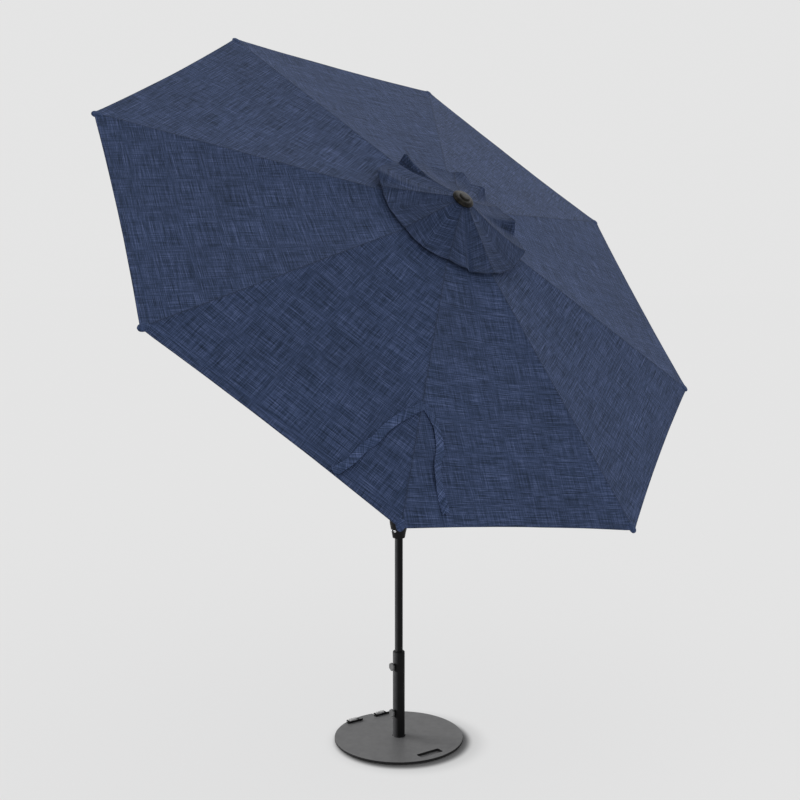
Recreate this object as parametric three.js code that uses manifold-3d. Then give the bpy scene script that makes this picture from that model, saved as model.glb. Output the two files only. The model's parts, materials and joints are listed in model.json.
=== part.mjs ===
// Tilting patio umbrella in its round steel base: an octagonal canopy with a vent tier on eight ribs.
// Millimetres, +Z up. The origin is the centre of the base's underside, on the floor.
// The base's grip slot faces -Y, its two rollers face +Y and its clamp knobs face -X.
import * as THREE from "three";
import { mergeVertices } from "three/addons/utils/BufferGeometryUtils.js";
import Module from "manifold-3d";

// ---- driving dimensions ----
const GAP = 0.3; // kept between touching pieces

const PLATE_RADIUS = 309;
const PLATE_BOTTOM = 3.3;
const PLATE_TOP = 15;
const PAD_RADIUS = 215;
const SLOT_CENTRE_Y = -251;
const SLOT_HALF_LENGTH = 63;
const SLOT_HALF_WIDTH = 21.5;
const SLOT_CORNER = 9;

const SOCKET_RADIUS = 28.5;
const SOCKET_BORE = 26;
const SOCKET_TOP = 430;
const KNOB_HEIGHTS = { lower: 135, upper: 363 };
const BOSS_RADIUS = 10;
const BOSS_FACE = 33; // from the mast's axis
const STEM_RADIUS = 5;
const KNOB_RADIUS = 20;

const ROLLER_X = 81;
const ROLLER_Y = 290;
const ROLLER_Z = 13.5;
const ROLLER_RADIUS = 12;
const ROLLER_HALF = 25;
const NOTCH_HALF = 33;
const NOTCH_Y = 275;
const AXLE_RADIUS = 3;

const POLE_RADIUS = 19;
const POLE_WALL = 1.8;
const POLE_FOOT_Z = 19.5;
const POLE_BORE = POLE_RADIUS - POLE_WALL;

const HOUSING_BOTTOM = 985;
const CRANK_Z = 1100;
const CRANK_ARM = 105;
const SCREW_Z = 1022;
const SCREW_TURNS = { right: -70, left: -110 }; // degrees round the mast from the lean direction

const JOINT_Z = 2153.3; // tilt hinge
const LEAN_AZIMUTH = -85.42; // where the canopy leans to
const TILT = 48.34;
const TONGUE_RADIUS = 17;
const TONGUE_HALF = 8.6;
const CHEEK_INNER = 9;
const CHEEK_OUTER = 16.5;
const PIN_RADIUS = 4;
const COLLAR_START = 32; // from the hinge to each knuckle collar
const COLLAR_END = 70;

const RIB_COUNT = 8;
const FIRST_RIB = -32.13; // degrees from the lean direction
const RIB_STEP = 360 / RIB_COUNT;
const HUB_HEIGHT = 499; // rib pivots, above the tilt hinge
const PIVOT_RADIUS = 36;
const RIB_SLOPE = 12.617; // below level when open
const RIB_LENGTH = 1514;
const RIB_HALF_WIDTH = 6;
const STRUT_AT = 450; // along the rib, and the strut's own length
const CANOPY_REACH = 1523.6; // along the rib to the fabric's corner
const CANOPY_UNDER = 10.2; // fabric above the rib's centre line
const CANOPY_THICK = 2;
const VENT_OPENING = 193; // along the rib to the main fabric's opening
const CAP_UNDER = 566;
const CAP_SLOPE = 16.6;
const CAP_THICK = 1.6;
const CAP_FLAT = 33;
const CAP_RADIUS = 345;
const FINIAL_RADIUS = 45;
const STUD = 16; // over the crown post's plate

const STRAP_THICK = 1.6;
const STRAP_HALF_WIDTH = 17;
// Each strap's two ends: distance from the canopy's axis, and degrees from the rib's seam.
const STRAPS = {
  tie_strap_left: { neighbour: -1, start: [1015, -1.2], end: [1420, -11.4] },
  tie_strap_right: { neighbour: 1, start: [1015, 1.2], end: [1400, 7.1] },
};

const RUNNER_HEIGHT = HUB_HEIGHT - 2 * STRUT_AT * Math.sin(toRadians(RIB_SLOPE));

// ---- materials ----
const powderCoat = new THREE.MeshStandardMaterial({ color: 0x6a6a6a, roughness: 0.75, metalness: 0.2 });
const satinBlack = new THREE.MeshStandardMaterial({ color: 0x2b2b2c, roughness: 0.45, metalness: 0.3 });
const blackPlastic = new THREE.MeshStandardMaterial({ color: 0x141415, roughness: 0.5, metalness: 0 });
const rubber = new THREE.MeshStandardMaterial({ color: 0x202020, roughness: 0.9, metalness: 0 });
const steel = new THREE.MeshStandardMaterial({ color: 0xc4c6c8, roughness: 0.3, metalness: 1 });
const bronze = new THREE.MeshStandardMaterial({ color: 0x33302c, roughness: 0.3, metalness: 0.6 });
const fabric = new THREE.MeshStandardMaterial({ color: 0x33425f, roughness: 0.95, metalness: 0 });

// ---- helpers ----
const wasm = await Module();
wasm.setup();

function toRadians(degrees) {
  return (degrees * Math.PI) / 180;
}

// A body of revolution about Z, from [radius, height] pairs.
function turned(profile, segments = 20) {
  const points = profile.map(([r, z]) => new THREE.Vector2(r, z));
  return new THREE.LatheGeometry(points, segments).rotateX(Math.PI / 2);
}

function cylinder(radius, bottom, top, segments = 16) {
  return turned([[0, bottom], [radius, bottom], [radius, top], [0, top]], segments);
}

function tube(outer, inner, bottom, top, segments = 28) {
  return turned([[inner, bottom], [outer, bottom], [outer, top], [inner, top], [inner, bottom]], segments);
}

function block(xRange, yRange, zRange) {
  const size = [xRange, yRange, zRange].map(([low, high]) => high - low);
  const centre = [xRange, yRange, zRange].map(([low, high]) => (low + high) / 2);
  return new THREE.BoxGeometry(...size).translate(...centre);
}

// A flat outline in the X-Z plane, extruded along Y between two values.
function slab(shape, yLow, yHigh, curveSegments = 5) {
  const flat = new THREE.ExtrudeGeometry(shape, { depth: yHigh - yLow, bevelEnabled: false, curveSegments });
  return flat.rotateX(Math.PI / 2).translate(0, yHigh, 0);
}

// A flat outline in the Y-Z plane, extruded along X between two values.
function sideSlab(shape, xLow, xHigh) {
  const settings = { depth: xHigh - xLow, bevelEnabled: false, curveSegments: 6 };
  const flat = new THREE.ExtrudeGeometry(shape, settings);
  const turn = new THREE.Matrix4().set(0, 0, 1, xLow, 1, 0, 0, 0, 0, 1, 0, 0, 0, 0, 0, 1);
  return flat.applyMatrix4(turn);
}

function alongX(geometry) {
  return geometry.rotateY(Math.PI / 2);
}

function alongMinusY(geometry) {
  return geometry.rotateX(Math.PI / 2);
}

function alongMinusX(geometry) {
  return geometry.rotateY(-Math.PI / 2);
}

function solidOf(geometry) {
  const bare = geometry.clone();
  bare.deleteAttribute("normal");
  bare.deleteAttribute("uv");
  const merged = mergeVertices(bare, 1e-3);
  const vertProperties = new Float32Array(merged.attributes.position.array);
  const triVerts = new Uint32Array(merged.index.array);
  return new wasm.Manifold(new wasm.Mesh({ numProp: 3, vertProperties, triVerts }));
}

function geometryOf(solid) {
  const mesh = solid.getMesh();
  const geometry = new THREE.BufferGeometry();
  geometry.setAttribute("position", new THREE.BufferAttribute(mesh.vertProperties, 3));
  geometry.setIndex(new THREE.BufferAttribute(mesh.triVerts, 1));
  geometry.computeVertexNormals();
  return geometry;
}

// One geometry from a first one, others joined to it and others cut from it.
function shaped(first, joined = [], cut = []) {
  let solid = solidOf(first);
  for (const geometry of joined) solid = solid.add(solidOf(geometry));
  for (const geometry of cut) solid = solid.subtract(solidOf(geometry));
  return geometryOf(solid);
}

function common(a, b) {
  return geometryOf(solidOf(a).intersect(solidOf(b)));
}

function add(parent, name, geometry, material) {
  const mesh = new THREE.Mesh(geometry, material);
  mesh.name = name;
  parent.add(mesh);
  return mesh;
}

// A closed thin sheet between an upper and an under grid of points, each grid[row][column].
// Columns run round the umbrella's axis when closed is true.
function sheet(upper, under, closed) {
  const rows = upper.length;
  const columns = upper[0].length;
  const positions = [...upper.flat(), ...under.flat()].flat();
  const at = (layer, row, column) => (layer * rows + row) * columns + (column % columns);
  const index = [];
  const quad = (a, b, c, d) => index.push(a, b, c, a, c, d);
  const lastColumn = closed ? columns : columns - 1;
  for (let column = 0; column < lastColumn; column += 1) {
    const next = column + 1;
    for (let row = 0; row < rows - 1; row += 1) {
      quad(at(0, row, column), at(0, row + 1, column), at(0, row + 1, next), at(0, row, next));
      quad(at(1, row, column), at(1, row, next), at(1, row + 1, next), at(1, row + 1, column));
    }
    quad(at(0, 0, next), at(1, 0, next), at(1, 0, column), at(0, 0, column));
    quad(at(0, rows - 1, column), at(1, rows - 1, column), at(1, rows - 1, next), at(0, rows - 1, next));
  }
  for (let row = 0; row < rows - 1 && !closed; row += 1) {
    quad(at(0, row, 0), at(1, row, 0), at(1, row + 1, 0), at(0, row + 1, 0));
    const end = columns - 1;
    quad(at(0, row, end), at(0, row + 1, end), at(1, row + 1, end), at(1, row, end));
  }
  const geometry = new THREE.BufferGeometry();
  geometry.setAttribute("position", new THREE.Float32BufferAttribute(positions, 3));
  geometry.setIndex(index);
  geometry.computeVertexNormals();
  return geometry;
}

// ---- base ----
function gripSlot() {
  const [x, y, corner] = [SLOT_HALF_LENGTH, SLOT_HALF_WIDTH, SLOT_CORNER];
  const slot = new THREE.Shape();
  slot.absarc(x - corner, SLOT_CENTRE_Y - y + corner, corner, -Math.PI / 2, 0);
  slot.absarc(x - corner, SLOT_CENTRE_Y + y - corner, corner, 0, Math.PI / 2);
  slot.absarc(corner - x, SLOT_CENTRE_Y + y - corner, corner, Math.PI / 2, Math.PI);
  slot.absarc(corner - x, SLOT_CENTRE_Y - y + corner, corner, Math.PI, (3 * Math.PI) / 2);
  return new THREE.ExtrudeGeometry(slot, { depth: PLATE_TOP + 10, bevelEnabled: false, curveSegments: 5 });
}

function basePlate() {
  const chamfer = 1.2;
  const plate = turned([
    [0, PLATE_BOTTOM], [PLATE_RADIUS - chamfer, PLATE_BOTTOM], [PLATE_RADIUS, PLATE_BOTTOM + chamfer],
    [PLATE_RADIUS, PLATE_TOP - chamfer], [PLATE_RADIUS - chamfer, PLATE_TOP], [0, PLATE_TOP],
  ], 64);
  const notches = [-ROLLER_X, ROLLER_X].map((x) =>
    block([x - NOTCH_HALF, x + NOTCH_HALF], [NOTCH_Y, PLATE_RADIUS + 10], [0, PLATE_TOP + 5]));
  return shaped(plate, [], [gripSlot(), ...notches]);
}

function socketTube() {
  const holes = Object.values(KNOB_HEIGHTS).map((height) =>
    alongMinusX(cylinder(STEM_RADIUS + 0.5, 0, SOCKET_RADIUS + 5)).translate(0, 0, height));
  return shaped(tube(SOCKET_RADIUS, SOCKET_BORE, PLATE_TOP + GAP, SOCKET_TOP), [], holes);
}

function weldBead() {
  const foot = SOCKET_RADIUS + GAP;
  const low = PLATE_TOP + GAP;
  return turned([[foot, low], [foot + 3, low], [foot + 2, low + 2.2], [foot, low + 3], [foot, low]], 28);
}

function topSleeve() {
  const bore = POLE_RADIUS + 0.6;
  const outer = SOCKET_BORE - GAP;
  const lip = SOCKET_TOP + GAP;
  return turned([
    [bore, SOCKET_TOP - 35], [outer, SOCKET_TOP - 35], [outer, lip], [SOCKET_RADIUS - 1, lip],
    [SOCKET_RADIUS - 1, lip + 1.5], [POLE_RADIUS + 3, lip + 5], [bore, lip + 5], [bore, SOCKET_TOP - 35],
  ], 28);
}

function threadedBoss() {
  const outside = alongMinusX(cylinder(BOSS_RADIUS, SOCKET_RADIUS - 6, BOSS_FACE));
  const wall = cylinder(SOCKET_RADIUS + GAP, -30, 30, 28);
  const bore = alongMinusX(cylinder(STEM_RADIUS + 0.5, 0, BOSS_FACE + 5));
  return shaped(outside, [], [wall, bore]);
}

function knobHead() {
  const face = BOSS_FACE + 3;
  const disc = turned([
    [STEM_RADIUS + GAP, face], [9, face], [11, face + 2.5], [KNOB_RADIUS - 1.5, face + 2.5],
    [KNOB_RADIUS, face + 4], [KNOB_RADIUS, face + 7.5], [KNOB_RADIUS - 2, face + 9], [0, face + 9.5], [0, face + 6.5],
    [STEM_RADIUS + GAP, face + 6.5], [STEM_RADIUS + GAP, face],
  ]);
  const flutes = [];
  const count = 6;
  for (let i = 0; i < count; i += 1) {
    const turn = (2 * Math.PI * i) / count;
    const reach = KNOB_RADIUS + 2.4;
    const flute = cylinder(4, face, face + 15, 10);
    flutes.push(flute.translate(reach * Math.cos(turn), reach * Math.sin(turn), 0));
  }
  return alongMinusX(shaped(disc, [], flutes));
}

function knobStem() {
  return alongMinusX(cylinder(STEM_RADIUS, POLE_RADIUS + 0.4, BOSS_FACE + 3 + 6.2));
}

// An angle strip on the plate, with an ear bent down into the notch at each end of the roller.
function rollerBracket() {
  const low = PLATE_TOP + GAP;
  const strip = block([-42.5, 42.5], [258, 274], [low, low + 3]);
  const flange = block([-42.5, 42.5], [258, 261], [low, low + 9]);
  const ear = new THREE.Shape();
  ear.moveTo(262, low);
  ear.lineTo(NOTCH_Y + 1, low);
  ear.absarc(ROLLER_Y, ROLLER_Z, 8, toRadians(-135), toRadians(75));
  ear.lineTo(262, low + 6);
  const inner = ROLLER_HALF + 1.5;
  const ears = [sideSlab(ear, inner, inner + 3), sideSlab(ear, -inner - 3, -inner)];
  const bore = alongX(cylinder(AXLE_RADIUS + GAP, -60, 60)).translate(0, ROLLER_Y, ROLLER_Z);
  return shaped(strip, [flange, ...ears], [bore]);
}

function rollerAxle() {
  const end = ROLLER_HALF + 6.3;
  const shoulder = ROLLER_HALF + 4.8;
  const head = AXLE_RADIUS + 1.5;
  return alongX(turned([
    [0, -end], [head, -end], [head, -shoulder], [AXLE_RADIUS, -shoulder],
    [AXLE_RADIUS, shoulder], [head, shoulder], [head, end], [0, end],
  ], 12)).translate(0, ROLLER_Y, ROLLER_Z);
}

function roller() {
  const bore = AXLE_RADIUS + GAP;
  const rim = ROLLER_RADIUS - 1;
  return alongX(turned([
    [bore, -ROLLER_HALF], [rim, -ROLLER_HALF], [ROLLER_RADIUS, -ROLLER_HALF + 1],
    [ROLLER_RADIUS, ROLLER_HALF - 1], [rim, ROLLER_HALF], [bore, ROLLER_HALF], [bore, -ROLLER_HALF],
  ])).translate(0, ROLLER_Y, ROLLER_Z);
}

function addBase(parent) {
  const sleeveBore = POLE_RADIUS + 0.6;
  add(parent, "base_pad", cylinder(PAD_RADIUS, 0, PLATE_BOTTOM - GAP, 48), rubber);
  add(parent, "base_plate", basePlate(), powderCoat);
  add(parent, "socket_tube", socketTube(), satinBlack);
  add(parent, "weld_bead", weldBead(), satinBlack);
  add(parent, "socket_sleeve_top", topSleeve(), blackPlastic);
  add(parent, "socket_sleeve_bottom", tube(SOCKET_BORE - GAP, sleeveBore, PLATE_TOP + GAP, 60), blackPlastic);
  for (const [level, height] of Object.entries(KNOB_HEIGHTS)) {
    const parts = {
      boss: [threadedBoss(), satinBlack],
      head: [knobHead(), blackPlastic],
      stem: [knobStem(), steel],
    };
    for (const [piece, [geometry, material]] of Object.entries(parts)) {
      add(parent, `knob_${piece}_${level}`, geometry, material).position.z = height;
    }
  }
  for (const [side, x] of Object.entries({ left: -ROLLER_X, right: ROLLER_X })) {
    add(parent, `roller_bracket_${side}`, rollerBracket(), satinBlack).position.x = x;
    add(parent, `roller_axle_${side}`, rollerAxle(), steel).position.x = x;
    add(parent, `roller_${side}`, roller(), rubber).position.x = x;
  }
}

// ---- mast: X is the lean direction and Y the tilt hinge's axis ----
function poleFoot() {
  const low = PLATE_TOP + 0.6;
  const plug = POLE_BORE - GAP;
  return turned([
    [0, low], [POLE_RADIUS, low], [POLE_RADIUS, POLE_FOOT_Z - GAP],
    [plug, POLE_FOOT_Z - GAP], [plug, POLE_FOOT_Z + 25], [0, POLE_FOOT_Z + 25],
  ]);
}

function outward(geometry, degrees, height) {
  return alongX(geometry).rotateZ(toRadians(degrees)).translate(0, 0, height);
}

// A shell round the pole: a collar that flares into the gear case, and tapers in again at the top.
function housingShell() {
  const bore = POLE_RADIUS + 0.4;
  const at = (above) => HOUSING_BOTTOM + above;
  const shell = turned([
    [bore, at(0)], [29.3, at(0)], [33, at(23)], [37.8, at(43)], [42.7, at(70)], [45, at(100)],
    [45, at(145)], [41, at(175)], [29, at(206)], [bore, at(207)],
    [bore, at(203)], [27, at(201)], [38, at(173)], [42, at(144)], [42, at(101)], [34.8, at(44)],
    [26, at(5)], [bore, at(4)], [bore, at(0)],
  ], 24);
  const boss = alongMinusY(cylinder(14, 42.5, 50)).translate(0, 0, CRANK_Z);
  const shaftHole = alongMinusY(cylinder(6, 30, 60)).translate(0, 0, CRANK_Z);
  const screwHoles = Object.values(SCREW_TURNS).flatMap((degrees) => [
    outward(cylinder(4.3, 24, 50, 12), degrees, SCREW_Z),
    outward(cylinder(7.2, 34.6, 60, 12), degrees, SCREW_Z),
  ]);
  return shaped(shell, [boss], [shaftHole, ...screwHoles]);
}

function housingScrew(degrees) {
  const seat = 34.9;
  return outward(turned([
    [0, 31], [4, 31], [4, seat], [6.8, seat], [6.8, seat + 1.8], [4.5, seat + 3], [0, seat + 3.4],
  ], 12), degrees, SCREW_Z);
}

function crankSpool() {
  return alongMinusY(turned([
    [0, 21], [14, 21], [14, 23], [10, 23], [10, 34], [14, 34], [14, 36], [5.5, 36], [5.5, 58], [0, 58],
  ])).translate(0, 0, CRANK_Z);
}

function crankArm() {
  const end = CRANK_Z + CRANK_ARM;
  const outline = new THREE.Shape();
  outline.absarc(0, CRANK_Z, 13, Math.PI, 2 * Math.PI);
  outline.absarc(0, end, 10, 0, Math.PI);
  const arm = slab(outline, -59.5, -50.4);
  const pin = alongMinusY(cylinder(4, 59, 121.5)).translate(0, 0, end);
  const cap = alongMinusY(cylinder(7, 121, 123)).translate(0, 0, end);
  const bore = alongMinusY(cylinder(5.8, 45, 58.3)).translate(0, 0, CRANK_Z);
  return shaped(arm, [pin, cap], [bore]);
}

function crankGrip() {
  const bore = 4.4;
  return alongMinusY(turned([
    [bore, 60.5], [11, 60.5], [13, 65], [11.5, 90], [13, 114], [11, 120.5], [bore, 120.5], [bore, 60.5],
  ], 16)).translate(0, 0, CRANK_Z + CRANK_ARM);
}

function pinBore() {
  return alongMinusY(cylinder(PIN_RADIUS + GAP, -30, 30));
}

function knuckleLower() {
  const cheek = new THREE.Shape();
  cheek.moveTo(-TONGUE_RADIUS, -COLLAR_START - 2);
  cheek.lineTo(TONGUE_RADIUS, -COLLAR_START - 2);
  cheek.absarc(0, 0, TONGUE_RADIUS, 0, Math.PI);
  const core = cylinder(POLE_RADIUS, -COLLAR_START - 3, TONGUE_RADIUS + 3, 24);
  const cheeks = [[CHEEK_INNER, CHEEK_OUTER], [-CHEEK_OUTER, -CHEEK_INNER]].map(([low, high]) =>
    common(slab(cheek, low, high, 8), core));
  const collar = cylinder(POLE_RADIUS, -COLLAR_END, -COLLAR_START, 24);
  const plug = cylinder(POLE_BORE - GAP, -COLLAR_END - 30, -COLLAR_END + 1);
  return shaped(collar, [plug, ...cheeks], [pinBore()]);
}

function knucklePin() {
  const head = PIN_RADIUS + 2;
  const shoulder = CHEEK_OUTER + GAP;
  return alongMinusY(turned([
    [0, -shoulder - 1.5], [head, -shoulder - 1.5], [head, -shoulder], [PIN_RADIUS, -shoulder],
    [PIN_RADIUS, shoulder], [head, shoulder], [head, shoulder + 1.5], [0, shoulder + 1.5],
  ], 16));
}

function addMast(parent) {
  add(parent, "pole_foot", poleFoot(), blackPlastic);
  const poleTop = JOINT_Z - COLLAR_END - GAP;
  add(parent, "lower_pole", tube(POLE_RADIUS, POLE_BORE, POLE_FOOT_Z, poleTop), satinBlack);
  const shell = housingShell();
  const half = (near, far) => common(shell, block([-60, 60], [near, far], [900, 1300]));
  add(parent, "crank_housing_front", half(-60, -GAP / 2), blackPlastic);
  add(parent, "crank_housing_back", half(GAP / 2, 60), blackPlastic);
  for (const [side, degrees] of Object.entries(SCREW_TURNS)) {
    add(parent, `housing_screw_${side}`, housingScrew(degrees), steel);
  }
  add(parent, "crank_spool", crankSpool(), steel);
  add(parent, "crank_arm", crankArm(), satinBlack);
  add(parent, "crank_grip", crankGrip(), blackPlastic);
  add(parent, "knuckle_lower", knuckleLower(), blackPlastic).position.z = JOINT_Z;
  add(parent, "knuckle_pin", knucklePin(), steel).position.z = JOINT_Z;
}

// ---- tilting head: Z runs up the upper pole from the tilt hinge ----
function knuckleUpper() {
  const tongue = new THREE.Shape();
  tongue.absarc(0, 0, TONGUE_RADIUS, Math.PI, 2 * Math.PI);
  tongue.lineTo(TONGUE_RADIUS, COLLAR_START + 2);
  tongue.lineTo(-TONGUE_RADIUS, COLLAR_START + 2);
  const core = cylinder(POLE_RADIUS, -TONGUE_RADIUS - 3, COLLAR_START + 3, 24);
  const collar = cylinder(POLE_RADIUS, COLLAR_START, COLLAR_END, 24);
  const plug = cylinder(POLE_BORE - GAP, COLLAR_END - 1, COLLAR_END + 30);
  return shaped(common(slab(tongue, -TONGUE_HALF, TONGUE_HALF, 8), core), [collar, plug], [pinBore()]);
}

function aroundRibs(makeOne) {
  return Array.from({ length: RIB_COUNT }, (_, i) => makeOne(toRadians(FIRST_RIB + RIB_STEP * i), i));
}

// A ring with a groove for the wire that the pivots hang on, and a slot for each rib or strut.
function notched(ring) {
  const slots = aroundRibs((turn) => block([26.5, 60], [-6.5, 6.5], [-30, 30]).rotateZ(turn));
  return shaped(ring, [], slots);
}

function groove(top) {
  const floor = -1.6;
  const [inner, outer] = [PIVOT_RADIUS - 1.8, PIVOT_RADIUS + 1.8];
  return [[outer, top], [outer, floor], [inner, floor], [inner, top]];
}

function hubRing() {
  return notched(turned([
    [0, -1.4], [POLE_RADIUS + GAP, -1.4], [POLE_RADIUS + GAP, -14], [46, -14], [46, 14], ...groove(14),
    [0, 14],
  ], 24));
}

function runnerRing() {
  const bore = POLE_RADIUS + 0.6;
  return notched(turned([
    [bore, -35], [24, -35], [24, -9], [46, -9], [46, 9], ...groove(9), [24, 9], [24, 14], [bore, 14],
    [bore, -35],
  ], 24));
}

function crownPost() {
  const low = HUB_HEIGHT + 18.8;
  const plate = CAP_UNDER - 0.4;
  return turned([
    [0, low], [12, low], [12, plate - 5.5], [30, plate - 3.5], [30, plate], [5, plate], [5, plate + STUD],
    [0, plate + STUD],
  ]);
}

function finial() {
  const low = CAP_UNDER + CAP_THICK + 0.4;
  const bore = 5.4;
  const end = STUD - CAP_THICK;
  return turned([
    [bore, low], [FINIAL_RADIUS - 1, low], [FINIAL_RADIUS, low + 1.5], [FINIAL_RADIUS, low + 5],
    [41, low + 9], [30, low + 14], [22, low + 16], [20, low + 19.5], [0, low + 22], [0, low + end], [bore, low + end],
    [bore, low],
  ]);
}

function rib() {
  const outline = new THREE.Shape();
  outline.absarc(0, 0, 6.5, Math.PI / 2, (3 * Math.PI) / 2);
  outline.lineTo(24, -9);
  outline.lineTo(700, -9);
  outline.lineTo(RIB_LENGTH, -1);
  outline.lineTo(RIB_LENGTH, 9);
  outline.lineTo(24, 9);
  outline.holes.push(new THREE.Path().absarc(0, 0, 2.4, 0, 2 * Math.PI));
  outline.holes.push(new THREE.Path().absarc(STRUT_AT, 0, 3.4, 0, 2 * Math.PI));
  return slab(outline, -RIB_HALF_WIDTH, RIB_HALF_WIDTH, 4);
}

// A bar whose upper end is a fork round the rib, with the pin that joins them.
function strut() {
  const bar = new THREE.Shape();
  bar.absarc(0, 0, 8.5, Math.PI / 2, (3 * Math.PI) / 2);
  bar.lineTo(20, -6);
  bar.lineTo(STRUT_AT - 48, -6);
  bar.lineTo(STRUT_AT - 48, 6);
  bar.lineTo(20, 6);
  bar.holes.push(new THREE.Path().absarc(0, 0, 5.3, 0, 2 * Math.PI));
  const cheek = new THREE.Shape();
  cheek.moveTo(STRUT_AT - 58, 6);
  cheek.lineTo(STRUT_AT - 58, -6);
  cheek.absarc(STRUT_AT, 0, 7, -Math.PI / 2, Math.PI / 2);
  const inner = RIB_HALF_WIDTH + 0.4;
  const outer = RIB_HALF_WIDTH + 3;
  const cheeks = [slab(cheek, inner, outer), slab(cheek, -outer, -inner)];
  const yoke = block([STRUT_AT - 60, STRUT_AT - 50], [-outer, outer], [-6, 6]);
  const pin = alongMinusY(cylinder(3, -inner - 1, inner + 1, 10)).translate(STRUT_AT, 0, 0);
  return shaped(slab(bar, -RIB_HALF_WIDTH, RIB_HALF_WIDTH), [yoke, ...cheeks, pin]);
}

function wire() {
  return new THREE.TorusGeometry(PIVOT_RADIUS, 1.2, 5, 24);
}

// A point over a rib, from the distance along it and the height over its centre line.
function overRib(turn, along, height) {
  const slope = toRadians(RIB_SLOPE);
  const radius = PIVOT_RADIUS + along * Math.cos(slope) + height * Math.sin(slope);
  const z = HUB_HEIGHT - along * Math.sin(slope) + height * Math.cos(slope);
  return [radius * Math.cos(turn), radius * Math.sin(turn), z];
}

function canopy() {
  const grid = (height) => [VENT_OPENING, CANOPY_REACH].map((along) =>
    aroundRibs((turn) => overRib(turn, along, height)));
  return sheet(grid(CANOPY_UNDER + CANOPY_THICK), grid(CANOPY_UNDER), true);
}

function ventCap() {
  const fall = (CAP_RADIUS - CAP_FLAT) * Math.tan(toRadians(CAP_SLOPE));
  const grid = (z) => [[8, z], [CAP_FLAT, z], [CAP_RADIUS, z - fall]].map(([radius, height]) =>
    aroundRibs((turn) => [radius * Math.cos(turn), radius * Math.sin(turn), height]));
  return sheet(grid(CAP_UNDER + CAP_THICK), grid(CAP_UNDER), true);
}

// A point on the panel beside the first rib: X and Y in the head's frame give its height over the fabric.
function onPanel(x, y, neighbour, height) {
  const middle = toRadians(FIRST_RIB + (neighbour * RIB_STEP) / 2);
  const slope = toRadians(RIB_SLOPE);
  const reach = (x * Math.cos(middle) + y * Math.sin(middle)) / Math.cos(toRadians(RIB_STEP / 2));
  const over = CANOPY_UNDER + CANOPY_THICK + height;
  return [x, y, HUB_HEIGHT + over / Math.cos(slope) + (PIVOT_RADIUS - reach) * Math.tan(slope)];
}

// A flat strap laid on the panel, straight from its sewn end to its loose end.
function tieStrap({ neighbour, start, end }) {
  const place = ([distance, degrees]) =>
    new THREE.Vector2(distance, 0).rotateAround(new THREE.Vector2(), toRadians(FIRST_RIB + degrees));
  const [from, to] = [place(start), place(end)];
  const along = to.clone().sub(from).normalize();
  const across = new THREE.Vector2(along.y, -along.x).multiplyScalar(STRAP_HALF_WIDTH);
  const grid = (height) => [-1, 1].map((side) => [from, to].map((point) =>
    onPanel(point.x + side * across.x, point.y + side * across.y, neighbour, height)));
  return sheet(grid(0.5 + STRAP_THICK), grid(0.5), false);
}

function addHead(parent) {
  add(parent, "knuckle_upper", knuckleUpper(), blackPlastic);
  add(parent, "upper_pole", tube(POLE_RADIUS, POLE_BORE, COLLAR_END + GAP, HUB_HEIGHT - 2), satinBlack);
  add(parent, "hub", hubRing(), blackPlastic).position.z = HUB_HEIGHT;
  add(parent, "hub_wire", wire(), steel).position.z = HUB_HEIGHT;
  add(parent, "crown_plate", cylinder(44, HUB_HEIGHT + 14.4, HUB_HEIGHT + 18.4, 24), satinBlack);
  add(parent, "crown_post", crownPost(), blackPlastic);
  add(parent, "finial", finial(), bronze);
  add(parent, "runner", runnerRing(), blackPlastic).position.z = RUNNER_HEIGHT;
  add(parent, "runner_wire", wire(), steel).position.z = RUNNER_HEIGHT;
  const bars = { rib: [rib(), HUB_HEIGHT, 1], strut: [strut(), RUNNER_HEIGHT, -1] };
  for (const [name, [geometry, height, downward]] of Object.entries(bars)) {
    aroundRibs((turn, i) => {
      const spoke = new THREE.Group();
      spoke.rotation.z = turn;
      parent.add(spoke);
      const bar = add(spoke, `${name}_${i}`, geometry, satinBlack);
      bar.position.set(PIVOT_RADIUS, 0, height);
      bar.rotation.y = downward * toRadians(RIB_SLOPE);
    });
  }
  add(parent, "canopy", canopy(), fabric);
  add(parent, "vent_cap", ventCap(), fabric);
  for (const [name, strap] of Object.entries(STRAPS)) add(parent, name, tieStrap(strap), fabric);
}

// ---- the whole umbrella ----
const umbrella = new THREE.Group();
addBase(umbrella);

const mast = new THREE.Group();
mast.rotation.z = toRadians(LEAN_AZIMUTH);
addMast(mast);
umbrella.add(mast);

const head = new THREE.Group();
head.position.z = JOINT_Z;
head.rotation.y = toRadians(TILT);
addHead(head);
mast.add(head);

export default umbrella;
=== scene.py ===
"""The looks of a tilting patio umbrella on its round base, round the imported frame. Metres throughout."""
import json
import math

import bmesh
import bpy
from mathutils import Matrix, Vector, noise


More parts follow.
